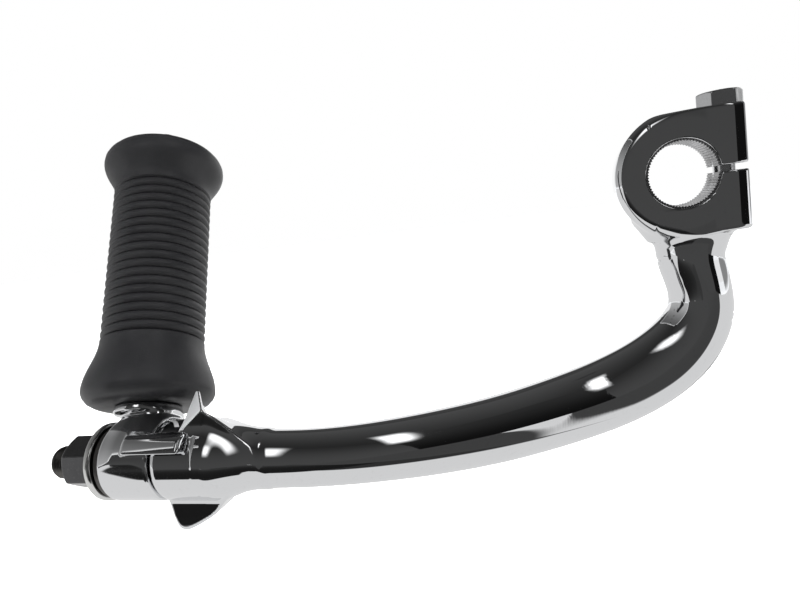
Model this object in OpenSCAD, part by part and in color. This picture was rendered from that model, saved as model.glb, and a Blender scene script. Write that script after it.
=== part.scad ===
// Folding kick start lever for a motorcycle, in millimetres.
// Origin: centre of the shaft bore. +Y runs along the bore towards the engine,
// +X points to the open side of the clamp, +Z points to the pinch bolt's head.
// The pedal is drawn folded.

/* [Shaft clamp] */
// Diameter of the bore, over the tips of the serrations
bore_d = 19.05; // [16:0.05:20]
// Bevel at both mouths of the bore
bore_bevel = 0.4; // [0.2:0.1:1]
// Width of the clamp along the bore
clamp_w = 19.5; // [17:0.5:24]
// Radius of the round side of the clamp
clamp_r = 19.4; // [17:0.1:24]
// Height over the two flats
clamp_h = 36.8; // [32:0.2:44]
// Distance from the bore centre to the squared end
clamp_reach = 18.2; // [17.5:0.1:24]
// Rounding of the round side, front and back
clamp_round = 3.4; // [1:0.1:5]
// Radius of the upright edges of the squared end
end_round = 4.2; // [1:0.1:6]
// Height of the saw cut that lets the clamp close
slot_h = 1.8; // [1:0.1:3]

/* [Pinch bolt] */
// Diameter of the bolt
pinch_d = 6.4; // [5:0.1:8]
// Clearance hole in the upper jaw
pinch_hole_d = 7; // [6.8:0.1:9]
// Distance across the flats of the head
pinch_head_af = 11.4; // [10:0.1:13]
// Height of the head
pinch_head_h = 5; // [3:0.1:6]
// How far the bolt stops short of the clamp's underside
pinch_short = 1.4; // [0:0.1:4]

/* [Arm] */
// Drop from the bore centre to the pivot axis
pivot_drop = 62.2; // [55:0.1:75]
// Reach from the bore centre to the joint face at the foot
joint_reach = 151.3; // [140:0.1:175]
// Outward offset of the pivot axis from the middle of the clamp
pivot_offset = 66; // [50:0.5:75]
// Radius of the arm in the neck under the clamp
neck_r = 9.3; // [7:0.1:11]
// Radius of the arm at its bend
bend_r = 11.5; // [9:0.1:13]
// Radius of the arm behind the foot
wrist_r = 8.1; // [6:0.1:9.5]
// Depth of the arm's section as a share of its width at the bend
arm_flat = 0.84; // [0.7:0.01:1]

/* [Foot] */
// Diameter of the foot barrel and of the pedal barrel
barrel_d = 23; // [20:0.5:28]
// Length of the foot barrel before it narrows to the arm
foot_len = 17.5; // [16:0.5:24]
// Distance of the stop faces in front of the pivot axis
stop_front = 6; // [4:0.1:7.5]
// Thickness of the stop ears
ear_t = 10; // [6:0.5:12]
// Height of the upper ear above the pivot axis
ear_up = 16.2; // [13:0.1:18]
// Depth of the lower ear below the pivot axis
ear_down = 18.4; // [15:0.1:21]

/* [Pivot] */
// Diameter of the plain shank in the pedal barrel
shank_d = 12; // [11:0.5:14]
// Diameter of the stud's two threads
thread_d = 10; // [8:0.5:10.5]
// Depth of the stud in the foot
stud_depth = 13; // [8:0.5:15]
// Length of the thread that stands out of the nut
stud_out = 7.4; // [2:0.1:9]
// Radial running clearance of the shank
run_fit = 0.05; // [0.03:0.01:0.08]
// Radial clearance between threads
thread_fit = 0.02; // [0.01:0.01:0.05]
// Diameter of the plain washer
washer_d = 23; // [18:0.5:26]
// Thickness of the plain washer
washer_t = 2.2; // [1.2:0.1:3]
// Outer diameter of the disc spring
disc_d = 21.5; // [16:0.5:24]
// Sheet thickness of the disc spring
disc_t = 1.3; // [0.8:0.1:1.8]
// Height of the disc spring as it is squeezed
disc_h = 2.1; // [1.9:0.1:3]
// Radial clearance of both washers on the thread
washer_fit = 0.3; // [0.1:0.1:0.6]
// Distance across the flats of the lock nut
nut_af = 14.3; // [13:0.1:17]
// Height of the lock nut
nut_h = 11.9; // [8:0.1:14]

/* [Pedal] */
// Length of the pedal barrel
pedal_barrel_l = 17; // [15:0.5:20]
// Backward lean of the folded pedal
fold_lean = 27.5; // [15:0.5:35]
// Sideways lean of the spindle, away from the clamp
spindle_lean = 4.2; // [0:0.1:8]
// Gap at the joint face and at the stops
joint_gap = 0.3; // [0.2:0.05:0.5]
// Height of the stop tongue above the barrel
tongue_h = 2.7; // [2:0.1:4]
// Reach of the tongue over the foot barrel
tongue_over = 11.6; // [10:0.1:13]
// Reach of the tongue over the pedal barrel
tongue_back = 7.8; // [5:0.1:12]
// How much narrower the neck is at the collar than at the barrel
neck_taper = 1.4; // [1:0.1:3]
// Thickness of the neck at the collar
neck_t = 15; // [12:0.1:18]
// Diameter of the collar under the rubber
collar_d = 20; // [17:0.5:22]
// Thickness of the collar
collar_t = 2.4; // [2:0.1:4]
// Diameter of the spindle
spindle_d = 12; // [10:0.5:14]
// Distance from the pivot axis to the tip of the spindle
spindle_top = 113; // [108:0.5:120]

/* [Rubber] */
// Distance from the pivot axis to the bottom of the rubber
rubber_low = 15.8; // [15.2:0.1:20]
// Distance from the pivot axis to the top of the rubber
rubber_high = 104.6; // [98:0.1:106]
// Radius of the ribbed middle
rib_r = 15.6; // [13:0.1:18]
// Depth of the grooves between the ribs
groove = 0.9; // [0.4:0.1:1.5]
// Number of ribs
ribs = 18; // [14:1:22]
// Spacing of the ribs
rib_pitch = 2.86; // [2.4:0.01:3]
// Radius of the flare at both ends
flare_r = 19.5; // [17:0.1:21]
// Radial clearance of the rubber on the spindle
rubber_fit = 0.05; // [0.02:0.01:0.1]

/* [Hidden] */
$fn = 64;

// The pinch bolt just clears the shaft bore
pinch_x = bore_d / 2 + pinch_d / 2 + 0.05;
// Shallow seat that is milled for the bolt's head
seat_depth = 0.5;
seat_d = pinch_head_af * 1.16 + 1.2;
clamp_top = clamp_h / 2;

// Pivot axis: it runs along X through this height and offset
pivot_y = -pivot_offset;
pivot_z = -pivot_drop;
barrel_r = barrel_d / 2;
foot_x = -joint_reach;
pedal_x = foot_x - joint_gap - pedal_barrel_l;
disc_x = pedal_x - 0.1 - disc_h;
washer_x = disc_x - washer_t;
nut_x = washer_x - nut_h;
stud_x = nut_x - stud_out;
spindle_x = pedal_x + pedal_barrel_l * 0.46;

// Stations of the arm's centre line: x, y, z, half width and half depth.
// The shape follows the drop, the reach and the offset of the pivot.
sx = joint_reach / 151.3;
sy = pivot_offset / 66;
sz = pivot_drop / 62.2;
arm_stations = [
    [0.8, 0, -12.4, neck_r + 6, clamp_w * 0.47],
    [1.8, 0, -18.6, neck_r + 3.6, clamp_w * 0.46],
    [1.9, 0, -21.6, neck_r + 1.5, clamp_w * 0.46],
    [1.6, 0, -27 * sz, neck_r + 0.4, neck_r],
    [4.0, 0, -36 * sz, neck_r, neck_r],
    [3.2, -0.4 * sy, -45 * sz, neck_r + 0.6, neck_r],
    [-3.4, -1.4 * sy, -54.2 * sz, bend_r - 0.5, bend_r * arm_flat],
    [-14 * sx, -4 * sy, -61.6 * sz, bend_r, bend_r * arm_flat],
    [-28 * sx, -9.5 * sy, -66.5 * sz, bend_r, bend_r * arm_flat],
    [-44 * sx, -19 * sy, -68.7 * sz, bend_r - 0.5, bend_r * arm_flat - 0.2],
    [-60 * sx, -31 * sy, -69 * sz, bend_r - 1.2, bend_r * arm_flat - 0.4],
    [-76 * sx, -43 * sy, -67.9 * sz, wrist_r + 1.4, wrist_r + 0.8],
    [-92 * sx, -54.2 * sy, -66 * sz, wrist_r + 0.5, wrist_r + 0.2],
    [-106 * sx, -61.8 * sy, -64.2 * sz, wrist_r, wrist_r - 0.1],
    [-119 * sx, -65.4 * sy, -62.8 * sz, wrist_r, wrist_r - 0.1],
    [foot_x + foot_len - 1, pivot_y, pivot_z, wrist_r, wrist_r - 0.1]
];
arm_steps = 3;
arm_sides = 28;

// Point at share t of the span between stations i and i + 1
function pick(i) = arm_stations[max(0, min(len(arm_stations) - 1, i))];
function blend(a, b, c, d, t) =
    0.5 * (2 * b + (c - a) * t + (2 * a - 5 * b + 4 * c - d) * t * t
        + (3 * b - a - 3 * c + d) * t * t * t);
arm_line = concat(
    [for (i = [0 : len(arm_stations) - 2], k = [0 : arm_steps - 1])
        blend(pick(i - 1), pick(i), pick(i + 1), pick(i + 2), k / arm_steps)],
    [arm_stations[len(arm_stations) - 1]]);
function place(s) = [s[0], s[1], s[2]];
function heading(i) =
    let (a = place(arm_line[max(0, i - 1)]), b = place(arm_line[min(len(arm_line) - 1, i + 1)]))
    (b - a) / norm(b - a);
// Across the arm in the plane of the bend, and out of that plane
function across(i) = let (c = cross(heading(i), [0, 1, 0])) c / norm(c);
function outward(i) = cross(across(i), heading(i));
arm_points = [for (i = [0 : len(arm_line) - 1], k = [0 : arm_sides - 1])
    let (turn = 360 * k / arm_sides)
    place(arm_line[i]) + arm_line[i][3] * cos(turn) * across(i)
        + arm_line[i][4] * sin(turn) * outward(i)];
arm_faces = concat(
    [[for (k = [arm_sides - 1 : -1 : 0]) k]],
    [for (i = [0 : len(arm_line) - 2], k = [0 : arm_sides - 1])
        let (a = i * arm_sides + k, b = i * arm_sides + (k + 1) % arm_sides)
        [a, b, a + arm_sides]],
    [for (i = [0 : len(arm_line) - 2], k = [0 : arm_sides - 1])
        let (a = i * arm_sides + k, b = i * arm_sides + (k + 1) % arm_sides)
        [b, b + arm_sides, a + arm_sides]],
    [[for (k = [0 : arm_sides - 1]) (len(arm_line) - 1) * arm_sides + k]]);

// Points of a quarter round, from one angle to another
function arc(cx, cy, r, from, to, steps) =
    [for (k = [0 : steps]) let (a = from + (to - from) * k / steps) [cx + r * cos(a), cy + r * sin(a)]];

// Turns a body drawn up the Z axis so that it runs along +X from x
module along_x(x) {
    translate([x, pivot_y, pivot_z]) rotate([0, 90, 0]) children();
}

// Solid of revolution about the bore axis that gives the clamp its round side
module clamp_round_side() {
    h = clamp_w / 2;
    rotate([90, 0, 0])
        rotate_extrude($fn = 96)
            polygon(concat(
                [[0, -h]],
                arc(clamp_r - clamp_round, -h + clamp_round, clamp_round, -90, 0, 6),
                arc(clamp_r - clamp_round, h - clamp_round, clamp_round, 0, 90, 6),
                [[0, h]]));
}

// Block that carries the two jaws
module clamp_jaws() {
    h = clamp_w / 2;
    translate([0, 0, -clamp_h / 2])
        linear_extrude(height = clamp_h)
            polygon(concat(
                [[0, -h]],
                arc(clamp_reach - end_round, -h + end_round, end_round, -90, 0, 6),
                arc(clamp_reach - end_round, h - end_round, end_round, 0, 90, 6),
                [[0, h]]));
}

module clamp_body() {
    intersection() {
        union() {
            clamp_round_side();
            clamp_jaws();
        }
        translate([-50, -50, -clamp_h / 2]) cube([100, 100, clamp_h]);
    }
}

module arm() {
    polyhedron(points = arm_points, faces = arm_faces, convexity = 6);
}

// Barrel at the foot that narrows in a shoulder to the arm
module foot_barrel() {
    shoulder = 12;
    along_x(foot_x)
        rotate_extrude($fn = 96)
            polygon(concat(
                [[0, 0], [barrel_r - 0.7, 0], [barrel_r, 0.7], [barrel_r, foot_len]],
                [for (k = [1 : 8]) let (t = k / 8)
                    [barrel_r - (barrel_r - wrist_r + 1.6) * (3 * t * t - 2 * t * t * t), foot_len + shoulder * t]],
                [[0, foot_len + shoulder]]));
}

// One ear of the stop plate: front outline and back outline, joined
module stop_ear(front, back) {
    hull() {
        translate([0, pivot_y - stop_front + 0.4, 0])
            rotate([90, 0, 0])
                linear_extrude(height = 0.4) polygon(front);
        translate([0, pivot_y - stop_front + ear_t, 0])
            rotate([90, 0, 0])
                linear_extrude(height = 0.4) polygon(back);
    }
}

module upper_ear() {
    z = pivot_z;
    stop_ear(
        [[foot_x + 9.2, z + 6], [foot_x + 9.2, z + 10.8], [foot_x + 15.2, z + ear_up - 0.8],
            [foot_x + 16.6, z + ear_up], [foot_x + 18, z + ear_up - 0.6],
            [foot_x + 24, z + 10.9], [foot_x + 30, z + 5.2], [foot_x + 30, z + 2]],
        [[foot_x + 9.2, z + 6], [foot_x + 9.2, z + 8.4], [foot_x + 13, z + 9.2],
            [foot_x + 22, z + 7], [foot_x + 30, z + 4], [foot_x + 30, z + 2]]);
}

// Thin end wall of the upper ear, which rises to a point at the back
module ear_end() {
    z = pivot_z;
    stop_ear(
        [[foot_x + 9.2, z + 6], [foot_x + 9.2, z + 10.8], [foot_x + 15.2, z + ear_up - 0.8],
            [foot_x + 16.6, z + ear_up], [foot_x + 17.6, z + ear_up - 0.6], [foot_x + 13, z + 6]],
        [[foot_x + 9.2, z + 6], [foot_x + 9.2, z + ear_up], [foot_x + 9.6, z + ear_up + 2.6],
            [foot_x + 10.4, z + ear_up + 2.4], [foot_x + 12, z + 6]]);
}

module lower_ear() {
    z = pivot_z;
    translate([0, pivot_y - stop_front + ear_t, 0])
        rotate([90, 0, 0])
            linear_extrude(height = ear_t)
                polygon([
                    [foot_x + 1.2, z - 5], [foot_x + 1.2, z - 10.8], [foot_x + 1.9, z - 15.4],
                    [foot_x + 2.7, z - ear_down + 0.9], [foot_x + 3.7, z - ear_down + 0.1],
                    [foot_x + 5, z - ear_down - 0.2], [foot_x + 6.6, z - ear_down + 0.1],
                    [foot_x + 11.7, z - 15.9], [foot_x + 14.8, z - 14.2], [foot_x + 17.2, z - 11.9],
                    [foot_x + 19.8, z - 9.6], [foot_x + 23.3, z - 7.7], [foot_x + 27.9, z - 6.2],
                    [foot_x + 29, z - 2]]);
}

// Forged lever in one piece: clamp, arm, foot barrel and stop ears
module crank() {
    color("silver")
    difference() {
        union() {
            clamp_body();
            arm();
            foot_barrel();
            upper_ear();
            ear_end();
            lower_ear();
        }
        shaft_bore();
        translate([0, -clamp_w, -slot_h / 2])
            cube([clamp_reach + 10, clamp_w * 2, slot_h]);
        translate([pinch_x, 0, 0])
            cylinder(d = pinch_hole_d, h = clamp_h);
        translate([pinch_x, 0, pinch_short / 2 - clamp_top])
            cylinder(d = pinch_d + 2 * thread_fit, h = clamp_h);
        translate([pinch_x, 0, clamp_top - seat_depth])
            cylinder(d = seat_d, h = clamp_h);
        along_x(foot_x - 1)
            cylinder(d = thread_d + 2 * thread_fit, h = stud_depth + 1.5);
    }
}

// Bore for the shaft, with a bevel at each mouth
module shaft_bore() {
    h = clamp_w / 2;
    rotate([90, 0, 0])
        rotate_extrude($fn = 96)
            polygon([
                [0, -h - 5], [bore_d / 2 + bore_bevel + 5, -h - 5], [bore_d / 2 + bore_bevel, -h],
                [bore_d / 2, -h + bore_bevel], [bore_d / 2, h - bore_bevel],
                [bore_d / 2 + bore_bevel, h], [bore_d / 2 + bore_bevel + 5, h + 5], [0, h + 5]]);
}

// Six-sided bar with its ends turned to a bevel
module hex_bar(af, h, low_bevel, high_bevel) {
    corner = af / sqrt(3);
    intersection() {
        cylinder(r = corner, h = h, $fn = 6);
        rotate_extrude($fn = 64)
            polygon([
                [0, 0], [corner - low_bevel * 2, 0], [corner + 0.05, low_bevel],
                [corner + 0.05, h - high_bevel], [corner - high_bevel * 2, h], [0, h]]);
    }
}

module pinch_bolt() {
    color("silver")
    translate([pinch_x, 0, clamp_top - seat_depth]) {
        hex_bar(pinch_head_af, pinch_head_h, 0.01, 0.6);
        translate([0, 0, -clamp_h + seat_depth + pinch_short])
            cylinder(d = pinch_d, h = clamp_h - seat_depth - pinch_short + 0.5);
    }
}

// Stud with a thread in the foot, a plain shank for the pedal and a thread for the nut
module pivot_stud() {
    tip = 1.6;
    shank_end = foot_x - pedal_barrel_l - joint_gap + 0.2;
    color("dimgray")
    along_x(stud_x)
        rotate_extrude($fn = 64)
            polygon(concat(
                [[0, 0]],
                [for (k = [1 : 6]) let (a = 90 * k / 6)
                    [(thread_d / 2 - 0.2) * sin(a), tip * (1 - cos(a))]],
                [[thread_d / 2, tip + 0.2], [thread_d / 2, shank_end - stud_x],
                    [shank_d / 2 - 0.4, shank_end - stud_x], [shank_d / 2, shank_end - stud_x + 0.4],
                    [shank_d / 2, foot_x - stud_x], [thread_d / 2, foot_x - stud_x],
                    [thread_d / 2, foot_x - stud_x + stud_depth - 1],
                    [thread_d / 2 - 1, foot_x - stud_x + stud_depth],
                    [0, foot_x - stud_x + stud_depth]]));
}

// Local frame of the folded pedal: its Z axis leans back with the neck
module pedal_frame() {
    translate([spindle_x, pivot_y, pivot_z]) rotate([-fold_lean, 0, 0]) children();
}

// Local frame of the spindle and the rubber
module spindle_frame() {
    pedal_frame() rotate([0, -spindle_lean, 0]) children();
}

// Barrel of the pedal with rounded rims
module pedal_barrel() {
    rim = 0.8;
    along_x(pedal_x)
        rotate_extrude($fn = 96)
            polygon(concat(
                [[0, 0]],
                arc(barrel_r - rim * 1.6, rim * 1.6, rim * 1.6, -90, 0, 5),
                [[barrel_r, pedal_barrel_l - rim], [barrel_r - rim * 0.5, pedal_barrel_l],
                    [0, pedal_barrel_l]]));
}

// Tongue that runs between the two stop ears, in front of and above the axis
module tongue() {
    inner = stop_front + joint_gap;
    outer = barrel_r + tongue_h;
    intersection() {
        along_x(foot_x - tongue_back)
            cylinder(r = outer, h = tongue_back + tongue_over, $fn = 96);
        translate([foot_x - tongue_back - 1, pivot_y, pivot_z])
            rotate([90, 0, 90])
                linear_extrude(height = tongue_back + tongue_over + 2)
                    polygon([
                        [-inner, inner], [-inner - 5.6, inner], [-outer, inner + 1.6],
                        [-outer, inner + 4.3], [-inner - 2, inner + 4.7], [-inner, inner + 4.7]]);
    }
}

// Neck that rises from the barrel to the collar
module pedal_neck() {
    top = rubber_low - collar_t;
    left = pedal_x - spindle_x + 0.3;
    top_w = pedal_barrel_l - 0.6 - neck_taper;
    edge = 4;
    pedal_frame()
        hull() {
            translate([left, -barrel_r + 1.4, 1])
                cube([pedal_barrel_l - 0.6, barrel_d - 2.8, 3]);
            translate([left + neck_taper + edge, -neck_t / 2, top - 1])
                cube([top_w - 2 * edge, neck_t, 1]);
            translate([left + neck_taper, -neck_t / 2 + edge, top - 1])
                cube([top_w, neck_t - 2 * edge, 1]);
        }
}

// Forged pedal in one piece: barrel, tongue, neck, collar and spindle
module pedal() {
    top = rubber_low - 0.05;
    color("silver")
    difference() {
        union() {
            pedal_barrel();
            tongue();
            pedal_neck();
            spindle_frame() {
                translate([0, 0, top - collar_t])
                    cylinder(d = collar_d, h = collar_t);
                rotate_extrude($fn = 64)
                    polygon(concat(
                        [[0, top - 2], [spindle_d / 2, top - 2]],
                        [for (k = [0 : 8]) let (a = 90 * k / 8)
                            [spindle_d / 2 * cos(a), spindle_top - 4 + 4 * sin(a)]]));
            }
        }
        along_x(pedal_x - 5)
            cylinder(d = shank_d + 2 * run_fit, h = pedal_barrel_l + 5 + joint_gap + tongue_over);
        along_x(foot_x - joint_gap)
            cylinder(r = barrel_r + joint_gap, h = tongue_over + 5, $fn = 96);
    }
}

// Moulded rubber: a ribbed sleeve that flares at both ends
module pedal_rubber() {
    middle = (rubber_low + rubber_high) / 2 + 2;
    first = middle - ribs * rib_pitch / 2;
    last = middle + ribs * rib_pitch / 2;
    bore_r = spindle_d / 2 + rubber_fit;
    color([0.12, 0.12, 0.12])
    spindle_frame()
        rotate_extrude($fn = 96)
            polygon(concat(
                [[bore_r, rubber_low], [flare_r - 5, rubber_low],
                    [flare_r - 2.2, rubber_low + 0.7], [flare_r - 0.5, rubber_low + 2.3]],
                [for (k = [0 : 8]) let (t = k / 8)
                    [flare_r - (flare_r - rib_r) * (1 - cos(180 * t)) / 2,
                        rubber_low + 4.2 + (first - rubber_low - 4.8) * t]],
                [for (i = [0 : ribs - 1], p = [[-groove, 0], [-0.25, 0.26], [0, 0.5], [-0.25, 0.74]])
                    [rib_r + p[0], first + (i + p[1]) * rib_pitch]],
                [[rib_r - groove, last]],
                [for (k = [0 : 8]) let (t = k / 8)
                    [rib_r + (flare_r - rib_r) * (1 - cos(180 * t)) / 2,
                        last + 0.6 + (rubber_high - 6 - last - 0.6) * t]],
                [[flare_r - 0.5, rubber_high - 3.8], [flare_r - 2, rubber_high - 1.9],
                    [flare_r - 4.6, rubber_high - 0.7], [flare_r - 9, rubber_high], [bore_r, rubber_high]]));
}

// Conical friction spring between the pedal and the washer
module disc_spring() {
    inner = thread_d / 2 + washer_fit;
    outer = disc_d / 2;
    color([0.3, 0.3, 0.31])
    along_x(disc_x)
        rotate_extrude($fn = 96)
            polygon([[inner, 0], [outer, disc_h - disc_t], [outer, disc_h], [inner, disc_t]]);
}

module washer() {
    rim = 0.3;
    inner = thread_d / 2 + washer_fit;
    outer = washer_d / 2;
    color("silver")
    along_x(washer_x)
        rotate_extrude($fn = 96)
            polygon([[inner, 0], [outer - rim, 0], [outer, rim], [outer, washer_t - rim],
                [outer - rim, washer_t], [inner, washer_t]]);
}

// Self-locking nut: six flats and a rounded outer end
module lock_nut() {
    color("silver")
    along_x(nut_x)
        difference() {
            rotate([0, 0, 31]) hex_bar(nut_af, nut_h, 1, 0.3);
            translate([0, 0, -1])
                cylinder(r = thread_d / 2 + thread_fit, h = nut_h + 2);
        }
}

crank();
pinch_bolt();
pivot_stud();
pedal();
pedal_rubber();
disc_spring();
washer();
lock_nut();
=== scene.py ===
"""Looks of the folding kick start lever: forged, chromed and rubber-clad faces round the part.

The forgings are smooth signed-distance solids, meshed on a fine grid and snapped to the exact
surface, so that the chrome reflects cleanly. Distances are in millimetres in the part's own
frame, and meshes are written in metres.
"""

import logging
import math
from dataclasses import dataclass
from enum import Enum
from typing import Callable, Dict, List, Sequence, Tuple, Union

import bpy
import numpy as np
from mathutils import Matrix, Vector

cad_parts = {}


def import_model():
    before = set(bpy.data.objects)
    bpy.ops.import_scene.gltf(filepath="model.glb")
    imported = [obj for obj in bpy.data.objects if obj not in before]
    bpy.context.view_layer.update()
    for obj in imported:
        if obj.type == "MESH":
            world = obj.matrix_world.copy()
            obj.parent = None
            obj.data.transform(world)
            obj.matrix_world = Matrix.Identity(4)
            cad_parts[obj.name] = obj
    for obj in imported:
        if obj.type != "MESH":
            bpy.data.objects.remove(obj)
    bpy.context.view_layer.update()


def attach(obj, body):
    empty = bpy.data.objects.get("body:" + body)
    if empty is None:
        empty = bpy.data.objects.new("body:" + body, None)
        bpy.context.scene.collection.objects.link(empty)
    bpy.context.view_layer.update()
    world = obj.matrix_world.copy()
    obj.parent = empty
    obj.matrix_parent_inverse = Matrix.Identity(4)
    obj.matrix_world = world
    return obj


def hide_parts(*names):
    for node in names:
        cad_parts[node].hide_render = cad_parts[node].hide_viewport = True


LOG = logging.getLogger("kick_lever")
MM = 0.001
Distance = Callable[[np.ndarray], np.ndarray]
Feed = Union[bpy.types.NodeSocket, float, Sequence[float]]
Point = Tuple[float, float, float]
Outline = Tuple[Tuple[float, float], ...]


class Body(Enum):
    """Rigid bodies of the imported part."""

    LEVER = "lever"
    PEDAL = "pedal"


class Finish(Enum):
    """Finishes of the pieces, by the names of their materials."""

    CRANK = "crank_plate"
    CHROME = "chrome_plate"
    BOLT = "bolt_plate"
    ZINC = "zinc_plate"
    NUT = "nut_plate"
    DARK_STEEL = "dark_steel"
    BORE_STEEL = "bore_steel"
    RUBBER = "black_rubber"


class Ramp(Enum):
    """How a value runs from one end of a range to the other."""

    EVEN = "LINEAR"
    SMOOTH = "SMOOTHSTEP"


@dataclass(frozen=True)
class Pivot:
    """Place of the fold axis and the sizes that both sides of the joint share.

    Attributes:
        y: the axis runs along X at this y.
        z: and at this z.
        foot_x: end face of the lever's foot.
        pedal_x: outer face of the pedal's barrel.
        barrel_r: radius of both barrels.
        gap: running gap between them.
        stop_front: how far the stop faces lie in front of the axis.
    """

    y: float = -66.0
    z: float = -62.2
    foot_x: float = -151.3
    pedal_x: float = -168.6
    barrel_r: float = 11.5
    gap: float = 0.3
    stop_front: float = 6.0

    def polar(self, p: np.ndarray) -> Tuple[np.ndarray, np.ndarray, np.ndarray]:
        """Gives the points' y and z from the axis, and their distance from it."""
        y, z = p[:, 1] - self.y, p[:, 2] - self.z
        return y, z, np.hypot(y, z)


PIVOT = Pivot()


# Distance helpers


def smin(a: np.ndarray, b: np.ndarray, k: float) -> np.ndarray:
    """Joins two distances with a fillet of size k."""
    h = np.maximum(k - np.abs(a - b), 0.0) / k
    return np.minimum(a, b) - h * h * k * 0.25


def smax(a: np.ndarray, b: np.ndarray, k: float) -> np.ndarray:
    """Cuts one distance with another and rounds the edge by about k / 2."""
    return -smin(-a, -b, k)


def rounded_box(u: np.ndarray, v: np.ndarray, hu: float, hv: float, r: float) -> np.ndarray:
    """Measures to a rounded rectangle centred at the origin.

    Args:
        u: first coordinate.
        v: second coordinate.
        hu: half size along u.
        hv: half size along v.
        r: corner radius.

    Returns:
        The signed distance.
    """
    qu = np.abs(u) - (hu - r)
    qv = np.abs(v) - (hv - r)
    outside = np.hypot(np.maximum(qu, 0.0), np.maximum(qv, 0.0))
    return outside + np.minimum(np.maximum(qu, qv), 0.0) - r


def hull_planes(points: Sequence[Point]) -> np.ndarray:
    """Finds the planes around a small set of points.

    Args:
        points: corners of a convex solid.

    Returns:
        Rows of unit normal and offset, one per face.
    """
    pts = np.array(points, float)
    n = len(pts)
    span = np.ptp(pts, axis=0).max()
    found: List[np.ndarray] = []
    for i in range(n):
        for j in range(i + 1, n):
            for k in range(j + 1, n):
                normal = np.cross(pts[j] - pts[i], pts[k] - pts[i])
                size = np.linalg.norm(normal)
                if size < 1e-6 * span * span:
                    continue
                normal = normal / size
                side = (pts - pts[i]) @ normal
                if side.max() > 1e-5 and side.min() < -1e-5:
                    continue
                if side.max() > 1e-5:
                    normal = -normal
                row = np.append(normal, normal @ pts[i])
                if not any(np.allclose(row, f, atol=1e-4) for f in found):
                    found.append(row)
    return np.array(found)


def plane_solid(p: np.ndarray, planes: np.ndarray, sharp: float) -> np.ndarray:
    """Measures to a convex solid with softened edges.

    Args:
        p: points.
        planes: rows of normal and offset.
        sharp: larger is sharper.

    Returns:
        The distance.
    """
    d = p @ planes[:, :3].T - planes[:, 3]
    top = d.max(axis=1, keepdims=True)
    return (top + np.log(np.exp((d - top) * sharp).sum(axis=1, keepdims=True)) / sharp)[:, 0]


class Sweep:
    """Tube with an oval section that changes along a smooth path."""

    CHUNK = 60000

    def __init__(self, stations: Sequence[Sequence[float]], steps: int = 30) -> None:
        """Samples the path.

        Args:
            stations: rows of x, y, z, half width, half depth.
            steps: samples per span.
        """
        rows = np.array(stations, float)
        padded = np.vstack([rows[:1], rows, rows[-1:]])
        dense = []
        for i in range(len(rows) - 1):
            a, b, c, d = padded[i : i + 4]
            for t in np.linspace(0.0, 1.0, steps, endpoint=False):
                square = (2 * a - 5 * b + 4 * c - d) * t * t
                cube = (3 * b - a - 3 * c + d) * t**3
                dense.append(0.5 * (2 * b + (c - a) * t + square + cube))
        dense.append(rows[-1])
        self.rows = self._smooth(np.array(dense), steps // 2)
        self.line = self.rows[:, :3]
        step = np.gradient(self.line, axis=0)
        self.speed = np.linalg.norm(step, axis=1)
        self.tangent = step / self.speed[:, None]
        across = np.cross(self.tangent, [0.0, 1.0, 0.0])
        self.across = across / np.linalg.norm(across, axis=1)[:, None]
        self.outward = np.cross(self.across, self.tangent)

    @staticmethod
    def _smooth(rows: np.ndarray, reach: int) -> np.ndarray:
        """Evens out the curvature between stations and keeps the ends.

        Args:
            rows: samples of the path.
            reach: samples on either side that count.

        Returns:
            The smoothed samples.
        """
        kernel = np.hanning(2 * reach + 1)
        kernel /= kernel.sum()
        out = rows.copy()
        for _ in range(2):
            padded = np.vstack([out[:1]] * reach + [out] + [out[-1:]] * reach)
            out = np.stack([np.convolve(column, kernel, "valid") for column in padded.T], 1)
        out[0], out[-1] = rows[0], rows[-1]
        return out

    @staticmethod
    def _at(table: np.ndarray, s: np.ndarray) -> np.ndarray:
        """Reads a table between its rows.

        Args:
            table: one row per sample of the path.
            s: places along the path, in samples.

        Returns:
            The values there.
        """
        i = np.clip(s.astype(int), 0, len(table) - 2)
        t = (s - i)[:, None]
        return table[i] * (1 - t) + table[i + 1] * t

    def distance(self, p: np.ndarray) -> np.ndarray:
        """Measures from points to the tube.

        Args:
            p: points.

        Returns:
            The signed distance, close to exact near the surface.
        """
        out = np.empty(len(p))
        skip = 5
        coarse = self.line[::skip]
        square = (coarse * coarse).sum(1)
        last = len(self.line) - 1.0
        for start in range(0, len(p), self.CHUNK):
            q = p[start : start + self.CHUNK]
            s = np.argmin(square[None, :] - 2.0 * q @ coarse.T, axis=1) * float(skip)
            s = np.clip(s, 0.0, last)
            for _ in range(3):
                rel = q - self._at(self.line, s)
                along = (rel * self._at(self.tangent, s)).sum(1)
                s = np.clip(s + along / self._at(self.speed[:, None], s)[:, 0], 0.0, last)
            rel = q - self._at(self.line, s)
            size = self._at(self.rows[:, 3:5], s)
            u = (rel * self._at(self.across, s)).sum(1)
            w = (rel * self._at(self.outward, s)).sum(1)
            k0 = np.hypot(u / size[:, 0], w / size[:, 1])
            k1 = np.hypot(u / size[:, 0] ** 2, w / size[:, 1] ** 2)
            d = np.where(k1 > 1e-9, k0 * (k0 - 1.0) / np.maximum(k1, 1e-9), -size.min(1))
            beyond = np.abs((rel * self._at(self.tangent, s)).sum(1))
            out[start : start + self.CHUNK] = np.maximum(d, beyond - 0.2)
        return out


# Meshing


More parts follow.
